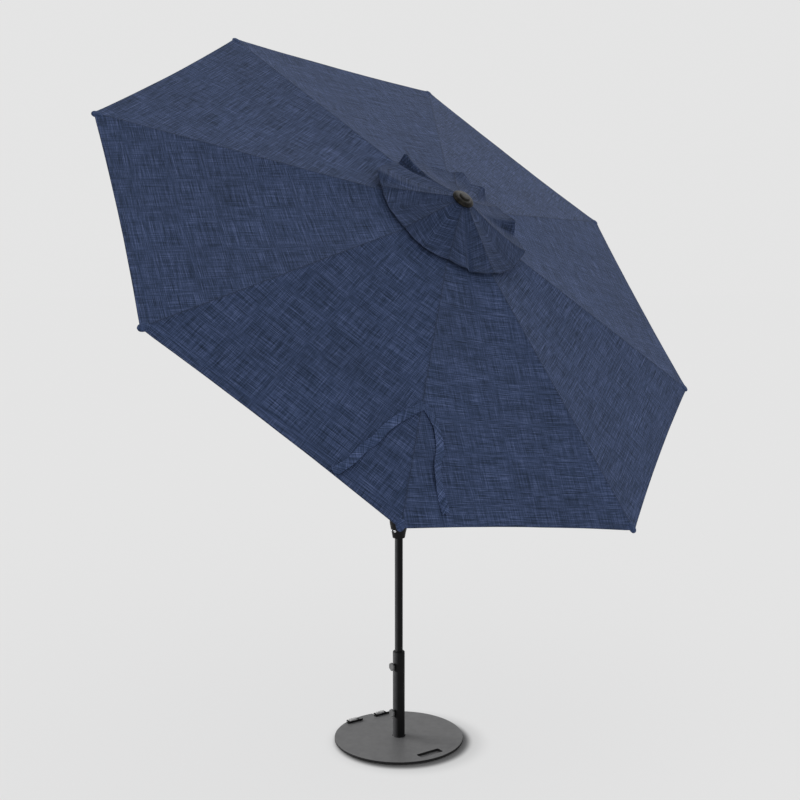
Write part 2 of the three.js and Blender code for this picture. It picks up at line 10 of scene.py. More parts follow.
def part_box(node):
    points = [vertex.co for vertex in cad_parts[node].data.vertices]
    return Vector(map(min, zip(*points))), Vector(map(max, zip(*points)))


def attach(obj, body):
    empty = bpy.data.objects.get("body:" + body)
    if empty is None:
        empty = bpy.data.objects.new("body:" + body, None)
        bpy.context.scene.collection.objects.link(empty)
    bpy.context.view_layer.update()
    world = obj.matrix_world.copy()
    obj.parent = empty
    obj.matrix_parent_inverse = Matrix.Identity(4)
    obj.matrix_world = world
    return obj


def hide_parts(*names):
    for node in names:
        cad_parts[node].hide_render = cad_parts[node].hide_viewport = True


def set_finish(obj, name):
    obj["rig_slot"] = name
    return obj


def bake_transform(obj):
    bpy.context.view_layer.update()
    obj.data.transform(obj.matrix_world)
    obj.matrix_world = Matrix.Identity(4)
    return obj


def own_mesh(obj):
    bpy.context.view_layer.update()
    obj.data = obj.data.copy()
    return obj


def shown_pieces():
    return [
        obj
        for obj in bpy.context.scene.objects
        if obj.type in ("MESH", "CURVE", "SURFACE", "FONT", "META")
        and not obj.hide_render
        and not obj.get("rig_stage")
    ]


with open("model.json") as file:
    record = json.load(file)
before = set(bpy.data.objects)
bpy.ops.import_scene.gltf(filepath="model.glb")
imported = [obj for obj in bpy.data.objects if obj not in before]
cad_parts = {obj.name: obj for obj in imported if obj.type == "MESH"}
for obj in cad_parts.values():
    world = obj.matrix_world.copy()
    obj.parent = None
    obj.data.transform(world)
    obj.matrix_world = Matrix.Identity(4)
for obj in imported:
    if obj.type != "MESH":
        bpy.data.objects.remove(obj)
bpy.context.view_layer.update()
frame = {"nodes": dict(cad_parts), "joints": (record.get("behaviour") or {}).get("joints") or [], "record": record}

# ---- driving dimensions, as in the CAD model ----
RIB_COUNT = 8
HALF_STEP = math.radians(180 / RIB_COUNT)
PIVOT_RADIUS = 0.036  # rib pivots, from the upper pole's axis
RIB_SLOPE = math.radians(12.617)
RIB_LENGTH = 1.514
FABRIC_TOP = 0.0122  # the canopy's upper face over a rib's centre line
CANOPY_REACH = 1.5236
VENT_OPENING = 0.193
POLE_RADIUS = 0.019
POLE_WALL = 0.0018
SOCKET_RADIUS = 0.0285
SOCKET_BORE = 0.026
SOCKET_TOP = 0.430
PLATE_TOP = 0.015
KNOB_HEIGHTS = {"lower": 0.135, "upper": 0.363}
ROLLER_PLACES = {"left": -0.081, "right": 0.081}

# ---- driving dimensions of the fabric ----
FABRIC_THICK = 0.0010
HEM_WIDTH = 0.026
HEM_THICK = 0.0026
HEM_BOW = 0.013  # how far the hem's middle lies in from the straight line between two tips
PANEL_SAG = 0.011
RIPPLE = 0.0016
SEAM_WIDTH = 0.007
SEAM_RAISE = 0.0007
CAP_CROWN = 0.0800  # over the rib pivots
CAP_GAP = 0.012  # between the cap's edge and the canopy under it
CAP_INNER = 0.020
CAP_HEM_WIDTH = 0.016
CAP_HEM_THICK = 0.0022
CAP_LENGTH = 0.315  # nominal, from the crown to the loose edge
TAPE_TOP = 0.0104  # a crown tape's upper face over a rib's centre line
TAPE_THICK = 0.0009
TAPE_START = 0.020
TAPE_PAST_VENT = 0.060
STRAP_HALF_WIDTH = 0.017
FINIAL_SPREAD = 1.12  # how much wider the finial is than its outline's numbers

# The vent cap's loose edge: degrees from the first rib, distance from the axis, gap over the canopy.
CAP_EDGE = (
    (2, 0.293, 0.013),
    (12, 0.297, 0.014),
    (18, 0.302, 0.018),
    (22, 0.306, 0.006),
    (25, 0.311, 0.016),
    (40, 0.319, 0.014),
    (54, 0.333, 0.015),
    (66, 0.345, 0.022),
    (80, 0.362, 0.038),
    (90, 0.380, 0.050),
    (107, 0.350, 0.034),
    (115, 0.344, 0.076),
    (130, 0.335, 0.045),
    (145, 0.320, 0.030),
    (152.5, 0.319, 0.073),
    (163, 0.322, 0.046),
    (173.5, 0.326, 0.068),
    (182, 0.325, 0.040),
    (200, 0.335, 0.030),
    (216, 0.355, 0.048),
    (222, 0.376, 0.062),
    (226, 0.362, 0.028),
    (242, 0.368, 0.032),
    (257, 0.378, 0.046),
    (263, 0.350, 0.024),
    (273, 0.326, 0.014),
    (288, 0.310, 0.012),
    (303, 0.299, 0.012),
    (319, 0.298, 0.012),
    (335, 0.297, 0.012),
    (347, 0.296, 0.012),
)
CAP_CREASE = 226.5  # degrees: a deep fold beside the highest corner

# Each tie strap's middle line: distance from the canopy's axis, degrees from the first rib.
STRAP_ROUTES = {
    "left": ((1.002, 0.5), (1.058, -2.4), (1.112, -4.7), (1.169, -6.3), (1.222, -7.2), (1.275, -8.6),
             (1.355, -9.9), (1.424, -11.5)),
    "right": ((1.000, 0.5), (1.032, 2.6), (1.079, 4.4), (1.157, 5.4), (1.212, 5.1), (1.262, 5.3),
              (1.354, 6.4), (1.405, 7.2)),
}


# ---- places in the frame ----
def joint(name):
    return next(j for j in frame["joints"] if j["name"] == name)


def columns(x, y, z, origin):
    return Matrix((
        (x.x, y.x, z.x, origin.x),
        (x.y, y.y, z.y, origin.y),
        (x.z, y.z, z.z, origin.z),
        (0, 0, 0, 1),
    ))


UP_POLE = -Vector(joint("runner_slide")["axis"]).normalized()
TILT_POINT = Vector(joint("tilt")["pos_m"])
LEAN_SIDE = -Vector(joint("tilt")["axis"]).normalized()
MAST = columns(LEAN_SIDE.cross(Vector((0, 0, 1))), LEAN_SIDE, Vector((0, 0, 1)), Vector((0, 0, 0)))
HEAD = columns(LEAN_SIDE.cross(UP_POLE), LEAN_SIDE, UP_POLE, TILT_POINT)


def spoke(index):
    """One rib's frame: X out from the pole, Y along the pivot, Z up the pole, origin between the pivots."""
    pivot = joint(f"rib_fold_{index}")
    tangent = Vector(pivot["axis"]).normalized()
    outward = tangent.cross(UP_POLE)
    return columns(outward, tangent, UP_POLE, Vector(pivot["pos_m"]) - PIVOT_RADIUS * outward)


SPOKES = [spoke(i) for i in range(RIB_COUNT)]


# ---- material helpers ----
def new_material(name, color, roughness, metallic=0.0, specular=0.5):
    material = bpy.data.materials.new(name)
    material.use_nodes = True
    nodes = material.node_tree.nodes
    shader = nodes["Principled BSDF"]
    shader.inputs["Base Color"].default_value = (*color, 1)
    shader.inputs["Roughness"].default_value = roughness
    shader.inputs["Metallic"].default_value = metallic
    shader.inputs["Specular IOR Level"].default_value = specular
    return material, shader


def node(material, kind, **settings):
    made = material.node_tree.nodes.new(kind)
    for name, value in settings.items():
        setattr(made, name, value)
    return made


def link(material, out, into):
    material.node_tree.links.new(out, into)


def noise_of(material, vector, scale, detail=3.0, roughness=0.5):
    made = node(material, "ShaderNodeTexNoise")
    made.inputs["Scale"].default_value = scale
    made.inputs["Detail"].default_value = detail
    made.inputs["Roughness"].default_value = roughness
    link(material, vector, made.inputs["Vector"])
    return made.outputs["Fac"]


def scaled(material, vector, factors, offset=(0, 0, 0)):
    made = node(material, "ShaderNodeMapping")
    made.inputs["Scale"].default_value = factors
    made.inputs["Location"].default_value = offset
    link(material, vector, made.inputs["Vector"])
    return made.outputs["Vector"]


def turned_about_z(material, vector, degrees):
    made = node(material, "ShaderNodeMapping")
    made.inputs["Rotation"].default_value = (0, 0, math.radians(degrees))
    link(material, vector, made.inputs["Vector"])
    return made.outputs["Vector"]


def math_of(material, operation, a, b=None):
    made = node(material, "ShaderNodeMath", operation=operation)
    for socket, value in zip(made.inputs, (a, b)):
        if value is None:
            continue
        if isinstance(value, (int, float)):
            socket.default_value = value
        else:
            link(material, value, socket)
    return made.outputs[0]


def ramp(material, value, stops):
    made = node(material, "ShaderNodeValToRGB")
    elements = made.color_ramp.elements
    while len(elements) < len(stops):
        elements.new(0.5)
    for element, (position, color) in zip(elements, stops):
        element.position = position
        element.color = (*color, 1)
    link(material, value, made.inputs["Fac"])
    return made.outputs["Color"]


def level(material, value, low, high, to_low=0.0, to_high=1.0):
    made = node(material, "ShaderNodeMapRange")
    for name, number in (("From Min", low), ("From Max", high), ("To Min", to_low), ("To Max", to_high)):
        made.inputs[name].default_value = number
    link(material, value, made.inputs["Value"])
    return made.outputs["Result"]


def mixed(material, share, first, second, blend="MIX"):
    made = node(material, "ShaderNodeMix", data_type="RGBA", blend_type=blend)
    for name, value in (("Factor_Float", share), ("A_Color", first), ("B_Color", second)):
        socket = next(s for s in made.inputs if s.identifier == name)
        if isinstance(value, (int, float)):
            socket.default_value = value
        elif isinstance(value, tuple):
            socket.default_value = (*value, 1)
        else:
            link(material, value, socket)
    return next(s for s in made.outputs if s.identifier == "Result_Color")


def bump(material, shader, height, distance, strength):
    made = node(material, "ShaderNodeBump")
    made.inputs["Strength"].default_value = strength
    made.inputs["Distance"].default_value = distance
    link(material, height, made.inputs["Height"])
    link(material, made.outputs["Normal"], shader.inputs["Normal"])


def object_coordinates(material):
    return node(material, "ShaderNodeTexCoord").outputs["Object"]


# ---- materials ----
YARNS = (
    (0.14, (0.006, 0.012, 0.025)),
    (0.40, (0.019, 0.033, 0.070)),
    (0.60, (0.033, 0.052, 0.118)),
    (0.90, (0.088, 0.120, 0.238)),
)


def yarn_pattern(material, weave):
    """Slubbed threads both ways: long thin streaks, thick and thin, over a fine plain weave."""
    weft = noise_of(material, scaled(material, weave, (13, 680, 1)), 1.0, 2.5, 0.62)
    weft_long = noise_of(material, scaled(material, weave, (5, 330, 1), (3, 7, 0)), 1.0, 1.5, 0.5)
    warp = noise_of(material, scaled(material, weave, (650, 14, 1), (5, 2, 0)), 1.0, 2.5, 0.62)
    warp_long = noise_of(material, scaled(material, weave, (300, 6, 1), (1, 9, 0)), 1.0, 1.5, 0.5)
    across = math_of(material, "ADD", math_of(material, "MULTIPLY", weft, 0.62),
                     math_of(material, "MULTIPLY", weft_long, 0.38))
    along = math_of(material, "ADD", math_of(material, "MULTIPLY", warp, 0.62),
                    math_of(material, "MULTIPLY", warp_long, 0.38))
    both = math_of(material, "ADD", math_of(material, "MULTIPLY", across, 0.58),
                   math_of(material, "MULTIPLY", along, 0.42))
    return level(material, both, 0.385, 0.615)


def thread_grid(material, weave):
    """The over-and-under of single threads, 0.7 mm apart."""
    parts = node(material, "ShaderNodeSeparateXYZ")
    link(material, weave, parts.inputs[0])
    per_metre = 4488
    waves = [math_of(material, "SINE", math_of(material, "MULTIPLY", parts.outputs[i], per_metre))
             for i in (0, 1)]
    return math_of(material, "MULTIPLY", waves[0], waves[1])


def fabric(name, weave_turn=0.0, with_edges=True, tone=1.0):
    material, shader = new_material(name, (0.03, 0.05, 0.11), 0.88, 0.0, 0.12)
    shader.inputs["Sheen Weight"].default_value = 0.05
    shader.inputs["Sheen Roughness"].default_value = 0.55
    shader.inputs["Sheen Tint"].default_value = (0.62, 0.72, 1.0, 1)
    weave = node(material, "ShaderNodeUVMap", uv_map="weave").outputs["UV"]
    if weave_turn:
        weave = turned_about_z(material, weave, weave_turn)
    pattern = yarn_pattern(material, weave)
    color = ramp(material, pattern, YARNS)
    patches = noise_of(material, scaled(material, weave, (3.0, 3.0, 1), (2, 2, 0)), 1.0, 2.0)
    shades = ramp(material, patches, ((0.3, (0.93 * tone,) * 3), (0.7, (1.06 * tone,) * 3)))
    color = mixed(material, 1.0, color, shades, "MULTIPLY")
    height = math_of(material, "ADD", math_of(material, "MULTIPLY", pattern, 0.6),
                     math_of(material, "MULTIPLY", thread_grid(material, weave), 0.25))
    if with_edges:
        color, height = with_seams(material, color, height)
    link(material, color, shader.inputs["Base Color"])
    rough = level(material, pattern, 0.0, 1.0, 0.95, 0.80)
    link(material, rough, shader.inputs["Roughness"])
    bump(material, shader, height, 0.0006, 0.5)
    return material


def with_seams(material, color, height):
    """Stitch rows, painted shade in each seam's fold and along the hem's folded edge, and the hem's double row,
    from the edge distances.
    """
    edges = node(material, "ShaderNodeSeparateXYZ")
    link(material, node(material, "ShaderNodeUVMap", uv_map="edges").outputs["UV"], edges.inputs[0])
    from_rib = edges.outputs[0]
    from_hem = edges.outputs[1]
    # painted shade: a dark line in the fold of each seam, beside the rib
    fold = level(material, math_of(material, "ABSOLUTE", from_rib), 0.0012, 0.0030, 1.0, 0.0)
    color = mixed(material, math_of(material, "MULTIPLY", fold, 0.55), color, (0.012, 0.018, 0.034))
    # painted shade: the hem's last few millimetres darkened along its folded edge
    hem_edge_shade = level(material, from_hem, 0.0015, 0.0035, 1.0, 0.0)
    color = mixed(material, math_of(material, "MULTIPLY", hem_edge_shade, 0.45), color, (0.014, 0.020, 0.036))
    rows = None
    for distance, place in ((0.0058, math_of(material, "ABSOLUTE", from_rib)), (0.020, from_hem),
                            (0.0235, from_hem)):
        off = math_of(material, "ABSOLUTE", math_of(material, "SUBTRACT", place, distance))
        row = level(material, off, 0.0004, 0.0009, 1.0, 0.0)
        rows = row if rows is None else math_of(material, "MAXIMUM", rows, row)
    color = mixed(material, math_of(material, "MULTIPLY", rows, 0.45), color, (0.020, 0.028, 0.050))
    height = math_of(material, "SUBTRACT", height, math_of(material, "MULTIPLY", rows, 1.2))
    height = math_of(material, "SUBTRACT", height, math_of(material, "MULTIPLY", fold, 1.5))
    return color, height


def powder_coat(name, color, roughness=0.55, grain=1400, speckle=0.10, specular=0.45):
    """A sprayed finish: orange-peel bump, faint mottling and uneven gloss."""
    material, shader = new_material(name, color, roughness, 0.0, specular)
    place = object_coordinates(material)
    mottling = noise_of(material, place, 14, 4.0, 0.6)
    low = tuple(c * (1 - speckle) for c in color)
    high = tuple(c * (1 + speckle) for c in color)
    link(material, ramp(material, mottling, ((0.3, low), (0.7, high))), shader.inputs["Base Color"])
    link(material, level(material, noise_of(material, place, 35, 3.0), 0.3, 0.7, roughness - 0.06,
                         roughness + 0.08), shader.inputs["Roughness"])
    bump(material, shader, noise_of(material, place, grain, 2.0), 0.00012, 0.35)
    return material


def plate_finish(name, top):
    """The plate's charcoal coat, with painted shade: near black round its rim and in its slot, its own colour only
    on its top face.
    """
    material = powder_coat(name, (0.117, 0.117, 0.118), 0.45, 1100, 0.04)
    shader = material.node_tree.nodes["Principled BSDF"]
    coat = shader.inputs["Base Color"].links[0].from_socket
    height = node(material, "ShaderNodeSeparateXYZ")
    link(material, object_coordinates(material), height.inputs[0])
    # painted shade: below the top face, round the rim and in the slot, the coat turns near black with less gloss
    top_face_unshaded = level(material, height.outputs[2], top - 0.0007, top - 0.0002)
    link(material, mixed(material, top_face_unshaded, (0.024, 0.024, 0.0245), coat), shader.inputs["Base Color"])
    link(material, level(material, top_face_unshaded, 0.0, 1.0, 0.10, 0.20), shader.inputs["Specular IOR Level"])
    return material


def moulded(name, color, roughness, specular):
    """Injection-moulded plastic: spark-eroded grain and soft uneven gloss."""
    material, shader = new_material(name, color, roughness, 0.0, specular)
    place = object_coordinates(material)
    shade = noise_of(material, place, 40, 3.0)
    link(material, ramp(material, shade, ((0.3, tuple(c * 0.85 for c in color)),
                                          (0.7, tuple(c * 1.2 for c in color)))),
         shader.inputs["Base Color"])
    link(material, level(material, shade, 0.3, 0.7, roughness - 0.08, roughness + 0.1),
         shader.inputs["Roughness"])
    grain = node(material, "ShaderNodeTexVoronoi")
    grain.inputs["Scale"].default_value = 1700
    link(material, place, grain.inputs["Vector"])
    bump(material, shader, grain.outputs["Distance"], 0.00010, 0.4)
    return material


def rubber_finish(name, low=(0.016, 0.016, 0.017), high=(0.040, 0.039, 0.038)):
    material, shader = new_material(name, low, 0.85, 0.0, 0.3)
    place = object_coordinates(material)
    dust = noise_of(material, place, 60, 4.0, 0.65)
    link(material, ramp(material, dust, ((0.35, low), (0.75, high))),
         shader.inputs["Base Color"])
    bump(material, shader, noise_of(material, place, 900, 2.0), 0.0002, 0.4)
    return material


def zinc(name):
    material, shader = new_material(name, (0.55, 0.56, 0.57), 0.32, 1.0)
    place = object_coordinates(material)
    brushed = noise_of(material, scaled(material, place, (900, 900, 60)), 1.0, 3.0)
    link(material, ramp(material, brushed, ((0.3, (0.46, 0.47, 0.48)), (0.7, (0.66, 0.67, 0.68)))),
         shader.inputs["Base Color"])
    link(material, level(material, brushed, 0.3, 0.7, 0.24, 0.42), shader.inputs["Roughness"])
    bump(material, shader, brushed, 0.00005, 0.3)
    return material


def bronze_finish(name):
    """Dark oil-rubbed bronze, worn a little lighter in random patches."""
    material, shader = new_material(name, (0.006, 0.0055, 0.005), 0.34, 0.0, 0.08)
    place = object_coordinates(material)
    wear = noise_of(material, place, 55, 4.0, 0.6)
    link(material, ramp(material, wear, ((0.35, (0.004, 0.0038, 0.0035)), (0.72, (0.020, 0.018, 0.014)))),
         shader.inputs["Base Color"])
    link(material, level(material, wear, 0.3, 0.7, 0.28, 0.46), shader.inputs["Roughness"])
    bump(material, shader, noise_of(material, place, 700, 2.0), 0.00008, 0.3)
    return material


CANOPY = fabric("canopy_weave")
# painted shade: the cap's cloth is the canopy's weave made 18 percent darker
CAP = fabric("cap_weave_painted_shade", tone=0.82)
STRAP = fabric("strap_weave", weave_turn=45, with_edges=False, tone=1.15)
PLATE = plate_finish("plate_coat", PLATE_TOP)
BLACK = powder_coat("black_coat", (0.0115, 0.0115, 0.0120), 0.42, 1600, 0.12, specular=0.04)
RIB_COAT = powder_coat("rib_coat", (0.022, 0.022, 0.024), 0.42, 1500, 0.12)
PLASTIC = moulded("black_plastic", (0.0075, 0.0075, 0.0080), 0.46, 0.10)
KNOB_PLASTIC = moulded("knob_plastic", (0.110, 0.110, 0.111), 0.36, 0.30)
GREY_PLASTIC = moulded("grey_plastic", (0.42, 0.42, 0.41), 0.5, 0.5)
RUBBER = rubber_finish("rubber")
PALE_RUBBER = rubber_finish("pale_rubber", (0.52, 0.52, 0.515), (0.74, 0.735, 0.725))
ZINC = zinc("zinc")
BRONZE = bronze_finish("bronze")

CAD_FINISHES = {
    "powder_coat": PLATE,
    "satin_black": BLACK,
    "black_plastic": PLASTIC,
    "rubber": RUBBER,
    "steel": ZINC,
    "bronze": BRONZE,
    "canopy_fabric": CANOPY,
    "frame_aluminium": RIB_COAT,
}


def finish_cad_nodes():
    for part in frame["record"]["subparts"]:
        mesh = frame["nodes"][part["node"]].data
        mesh.materials.clear()
        mesh.materials.append(CAD_FINISHES[part["material_slot"]])


# ---- mesh helpers ----
def object_of(name, mesh, material, body, slot, matrix=None):
    piece = bpy.data.objects.new(name, mesh)
    bpy.context.scene.collection.objects.link(piece)
    if matrix is not None:
        mesh.transform(matrix)
    mesh.materials.append(material)
    if body is not None:
        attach(piece, body)
    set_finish(piece, slot)
    return piece


def smooth(mesh, sharp_degrees=35):
    mesh.polygons.foreach_set("use_smooth", [True] * len(mesh.polygons))
    mesh.set_sharp_from_angle(angle=math.radians(sharp_degrees))


def lathe(name, profile, material, body, slot, matrix=None, segments=64, wave=None):
    """A body of revolution about Z, from (radius, height) pairs.

    wave(angle, radius, height) may change a radius."""
    vertices = []
    faces = []
    for radius, height in profile:
        for i in range(segments):
            angle = 2 * math.pi * i / segments
            reach = radius if wave is None else wave(angle, radius, height)
            vertices.append((reach * math.cos(angle), reach * math.sin(angle), height))
    for row in range(len(profile) - 1):
        here = row * segments
        above = here + segments
        for i in range(segments):
            j = (i + 1) % segments
            faces.append((here + i, here + j, above + j, above + i))
    mesh = bpy.data.meshes.new(name)
    mesh.from_pydata(vertices, [], faces)
    work = bmesh.new()
    work.from_mesh(mesh)
    bmesh.ops.remove_doubles(work, verts=work.verts, dist=1e-6)
    bmesh.ops.recalc_face_normals(work, faces=work.faces)
    work.to_mesh(mesh)
    work.free()
    smooth(mesh)
    return object_of(name, mesh, material, body, slot, matrix)


def rounded(profile, radius=0.0012, steps=3):
    """The same closed (radius, height) outline with small arcs at its corners."""
    made = []
    count = len(profile)
    for i, corner in enumerate(profile):
        point = Vector(corner)
        before = Vector(profile[i - 1])
        after = Vector(profile[(i + 1) % count])
        a = before - point
        b = after - point
        if point.x < 1e-6 or a.length < 1e-6 or b.length < 1e-6:
            made.append(tuple(point))
            continue
        cut = min(radius, a.length * 0.45, b.length * 0.45)
        start = point + a.normalized() * cut
        end = point + b.normalized() * cut
        for k in range(steps + 1):
            t = k / steps
            made.append(tuple(start * (1 - t) ** 2 + point * 2 * t * (1 - t) + end * t ** 2))
    made.append(made[0])
    return made


def block(name, size, material, body, slot, matrix, bevel=0.0008):
    work = bmesh.new()
    bmesh.ops.create_cube(work, size=1)
    bmesh.ops.scale(work, vec=size, verts=work.verts)
    bmesh.ops.bevel(work, geom=work.edges[:], offset=bevel, segments=2, affect="EDGES")
    mesh = bpy.data.meshes.new(name)
    work.to_mesh(mesh)
    work.free()
    smooth(mesh)
    return object_of(name, mesh, material, body, slot, matrix)


# ---- cloth ----
def grid_normals(points):
    rows = len(points)
    cols = len(points[0])
    normals = []
    for i in range(rows):
        line = []
        for j in range(cols):
            down = points[min(i + 1, rows - 1)][j] - points[max(i - 1, 0)][j]
            over = points[i][min(j + 1, cols - 1)] - points[i][max(j - 1, 0)]
            line.append(down.cross(over).normalized())
        normals.append(line)
    return normals


def cloth(name, points, thickness, layers, material, body, slot):
    """A closed sheet. points is a grid of its upper face, seen from above with rows outward and columns
    turning left; thickness a grid; layers maps a UV map's name to a grid of (left, right) coordinates."""
    rows = len(points)
    cols = len(points[0])
    normals = grid_normals(points)
    count = rows * cols
    vertices = [p for line in points for p in line]
    vertices += [points[i][j] - normals[i][j] * thickness[i][j] for i in range(rows) for j in range(cols)]
    faces = []
    corners = []
    for i in range(rows - 1):
        for j in range(cols - 1):
            square = ((i, j), (i + 1, j), (i + 1, j + 1), (i, j + 1))
            faces.append([r * cols + c for r, c in square])
            corners.append([(r, c, j) for r, c in square])
            faces.append([count + r * cols + c for r, c in reversed(square)])
            corners.append([(r, c, j) for r, c in reversed(square)])
    rim = [(0, j) for j in range(cols)] + [(i, cols - 1) for i in range(1, rows)]
    rim += [(rows - 1, j) for j in range(cols - 2, -1, -1)] + [(i, 0) for i in range(rows - 2, 0, -1)]
    rim_steps = list(zip(rim, rim[1:] + rim[:1]))
    for (r, c), (r2, c2) in rim_steps:
        side = min(c, c2, cols - 2)
        faces.append([r * cols + c, r2 * cols + c2, count + r2 * cols + c2, count + r * cols + c])
        corners.append([(r, c, side), (r2, c2, side), (r2, c2, side), (r, c, side)])
    mesh = bpy.data.meshes.new(name)
    mesh.from_pydata(vertices, [], faces)
    for layer, values in layers.items():
        uv = mesh.uv_layers.new(name=layer)
        flat = []
        for corner in corners:
            for r, c, j in corner:
                flat.extend(values[r][c][1 if c == j else 0])
        uv.data.foreach_set("uv", flat)
    mesh.polygons.foreach_set("use_smooth", [True] * len(faces))
    border = {tuple(sorted((r * cols + c, r2 * cols + c2))) for (r, c), (r2, c2) in rim_steps}
    border |= {(a + count, b + count) for a, b in border}
    for edge in mesh.edges:
        if tuple(sorted(edge.vertices)) in border:
            edge.use_edge_sharp = True
    return object_of(name, mesh, material, body, slot)


def ridge(reach, over=FABRIC_TOP):
    """The height of the fabric over a rib, above the pivots, at a distance from the axis."""
    return over / math.cos(RIB_SLOPE) + (PIVOT_RADIUS - reach) * math.tan(RIB_SLOPE)


def reach_along(along, over=FABRIC_TOP):
    return PIVOT_RADIUS + along * math.cos(RIB_SLOPE) + over * math.sin(RIB_SLOPE)


def eased(share):
    """0 at a rib, 1 and level at the panel's middle."""
    return 1 - (1 - share) ** 2


def level_point(reach, share):
    """A point on a flat panel's level line: share is -1..1, from one gore's middle to the next one's."""
    return Vector((
        reach * (1 - abs(share) * math.sin(HALF_STEP) ** 2),
        reach * share * math.sin(HALF_STEP) * math.cos(HALF_STEP),
        0,
    ))


def head_place(index, point):
    """The same point in the head's own frame, so that ripples run on from panel to panel."""
    return HEAD.inverted() @ (SPOKES[index] @ point)


def ripple(place, size):
    return noise.noise(place * size) + 0.5 * noise.noise(place * size * 2.3)


INNER_REACH = reach_along(VENT_OPENING)
OUTER_REACH = reach_along(CANOPY_REACH)


def canopy_point(index, t, share):
    """A point on the main canopy's upper face: t is 0 at the vent opening and 1 at the hem."""
    across = eased(abs(share))
    outer = OUTER_REACH - HEM_BOW * across
    reach = INNER_REACH + t * (outer - INNER_REACH)
    point = level_point(reach, share)
    point.z = ridge(reach)
    hollow = PANEL_SAG * across * (0.30 + 0.70 * math.sin(math.pi * min(1, 0.08 + 0.92 * t)))
    place = head_place(index, point)
    wrinkle = RIPPLE * across * ripple(Vector((place.x, place.y, 0)), 4.2)
    side = abs(point.y)
    seam = SEAM_RAISE * max(0.0, 1 - (side / SEAM_WIDTH) ** 4)
    tip = math.exp(-((OUTER_REACH - reach) / 0.030) ** 2 - (side / 0.022) ** 2)
    point.z += wrinkle + seam - hollow + 0.0022 * tip
    return point, reach


def column_shares(half_width, seam_columns=(0.0, 0.0025, 0.005, 0.0075, 0.0105), inner=13, strip=0.002):
    """Where the columns of a panel's half lie, as shares of its half width, fine at both its edges."""
    first = seam_columns[-1] / half_width
    last = 1 - strip / half_width
    shares = [s / half_width for s in seam_columns]
    shares += [first + (last - first) * k / inner for k in range(1, inner + 1)]
    shares.append(1.0)
    return shares


def both_sides(shares):
    return [-s for s in reversed(shares[1:])] + shares


def weave_at(index, reach, share, slope):
    """A panel's own cloth coordinates, U along its hem and V up it, on each side of a point."""
    half_chord = reach * math.sin(HALF_STEP)
    up = reach * math.cos(HALF_STEP) / math.cos(slope)
    left = (index - 1) % RIB_COUNT
    on_left = (-(1 - abs(share)) * half_chord + 3.7 * left, up + 5.3 * left)
    on_right = ((1 - abs(share)) * half_chord + 3.7 * index, up + 5.3 * index)
    if share < 0:
        return on_left, on_left
    if share > 0:
        return on_right, on_right
    return on_left, on_right


PANEL_SLOPE = math.atan(math.tan(RIB_SLOPE) / math.cos(HALF_STEP))


def canopy_panel(index):
    """The canopy's fabric over one rib, from the middle of one gore to the middle of the next."""
    length = OUTER_REACH - INNER_REACH
    ts = [0.0, 0.004 / length, 0.015 / length]
    ts += [0.03 + 0.93 * k / 30 for k in range(31)]
    ts += [1 - d / length for d in (HEM_WIDTH + 0.002, HEM_WIDTH, HEM_WIDTH * 0.5, 0.004, 0.0)]
    points, thickness, weave, edges = [], [], [], []
    for t in ts:
        line, thick, cloth_uv, edge_uv = [], [], [], []
        half_width = (INNER_REACH + t * length) * math.sin(HALF_STEP) * math.cos(HALF_STEP)
        for share in both_sides(column_shares(half_width)):
            point, reach = canopy_point(index, t, share)
            from_hem = (1 - t) * length
            hem = max(0.0, min(1.0, (HEM_WIDTH - from_hem) / 0.002 + 1))
            line.append(SPOKES[index] @ point)
            thick.append(FABRIC_THICK + (HEM_THICK - FABRIC_THICK) * hem)
            cloth_uv.append(weave_at(index, reach, share, PANEL_SLOPE))
            edge_uv.append(((point.y, from_hem),) * 2)
        points.append(line)
        thickness.append(thick)
        weave.append(cloth_uv)
        edges.append(edge_uv)
    layers = {"weave": weave, "edges": edges}
    panel = cloth(f"canopy_panel_{index}", points, thickness, layers, CANOPY, f"rib_{index}",
                  "canopy_fabric")
    fold_with_rib(panel)
    area = math.sin(HALF_STEP) * math.cos(HALF_STEP) * (OUTER_REACH ** 2 - INNER_REACH ** 2)
    area /= math.cos(PANEL_SLOPE)
    tip_pocket(index)
    return panel


def fold_with_rib(piece):
    """The piece is given its own copy of its mesh."""
    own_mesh(piece)


def on_edge(degrees, column):
    """The cap edge's distance or gap at any angle, eased between its stations."""
    turn = (degrees - CAP_EDGE[0][0]) % 360 + CAP_EDGE[0][0]
    stations = CAP_EDGE + ((CAP_EDGE[0][0] + 360, *CAP_EDGE[0][1:]),)
    for a, b in zip(stations, stations[1:]):
        if a[0] <= turn <= b[0]:
            t = (turn - a[0]) / (b[0] - a[0])
            t = 0.6 * t + 0.4 * t * t * (3 - 2 * t)
            return a[column] + (b[column] - a[column]) * t
    return stations[0][column]


def cap_point(index, t, share):
    """A point on the vent cap's upper face: t is 0 at the crown and 1 at the loose edge."""
    turn = 2 * math.degrees(HALF_STEP) * index + share * math.degrees(HALF_STEP)
    edge = on_edge(turn, 1)
    distance = CAP_INNER + t * (edge - CAP_INNER)
    angle = share * HALF_STEP
    straight = math.cos(angle) + abs(math.sin(angle)) * math.tan(HALF_STEP)
    fall = (CAP_CROWN - CAP_GAP - ridge(edge * straight)) * max(0.0, (distance - 0.033) / (edge - 0.033))
    lift = (on_edge(turn, 2) - CAP_GAP) * t ** 3
    lift -= 0.016 * math.exp(-((turn - CAP_CREASE) / 2.4) ** 2) * max(0.0, min(1.0, (t - 0.45) / 0.3))
    hollow = 0.007 * eased(abs(share)) * math.sin(math.pi * min(1.0, t)) ** 0.7
    point = Vector((distance * math.cos(angle), distance * math.sin(angle), 0))
    place = head_place(index, point)
    wrinkle = 0.0022 * t * ripple(Vector((place.x, place.y, 0.3)), 13)
    seam = 0.0008 * max(0.0, 1 - (abs(point.y) / SEAM_WIDTH) ** 4)
    point.z = CAP_CROWN - fall + lift + wrinkle + seam - hollow
    return point, distance


